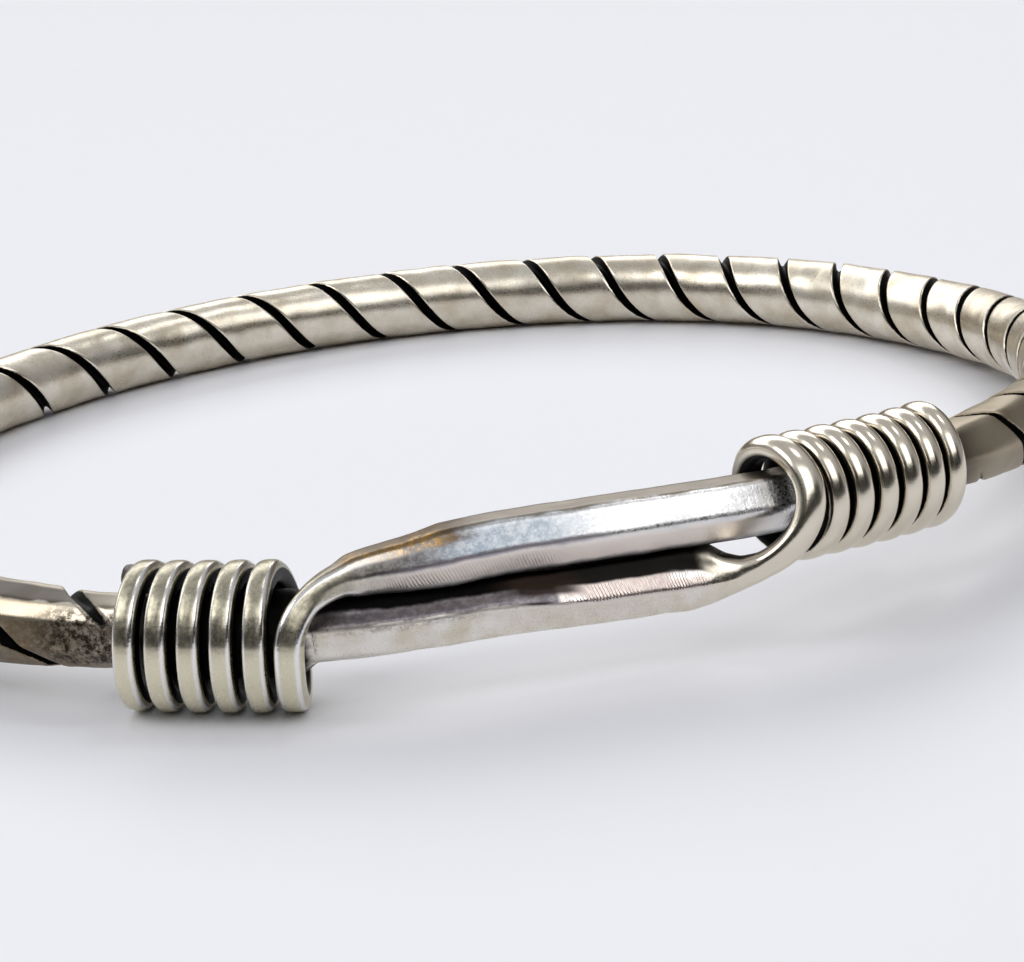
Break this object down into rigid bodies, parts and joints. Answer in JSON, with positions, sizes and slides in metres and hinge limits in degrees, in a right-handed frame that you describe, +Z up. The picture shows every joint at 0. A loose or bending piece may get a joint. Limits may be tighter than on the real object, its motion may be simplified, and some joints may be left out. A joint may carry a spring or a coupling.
{
  "type": "twisted wire bangle",
  "caption": "Adjustable bangle forged from one rod: a twisted band whose plain ends cross at the front and coil round each other.",
  "frame": {"origin": "middle of the ring, on the surface that the bangle lies on", "axes": "+Z up through the ring, -Y through the middle of the front crossing, +X towards the coil on the lower bar's wire end"},
  "size_m": [0.066, 0.0661, 0.0084],
  "materials": {
    "silver": "warm worn silver with dark oxidised grooves"
  },
  "bodies": {
    "root": {"bangle": "silver"}
  },
  "joints": []
}
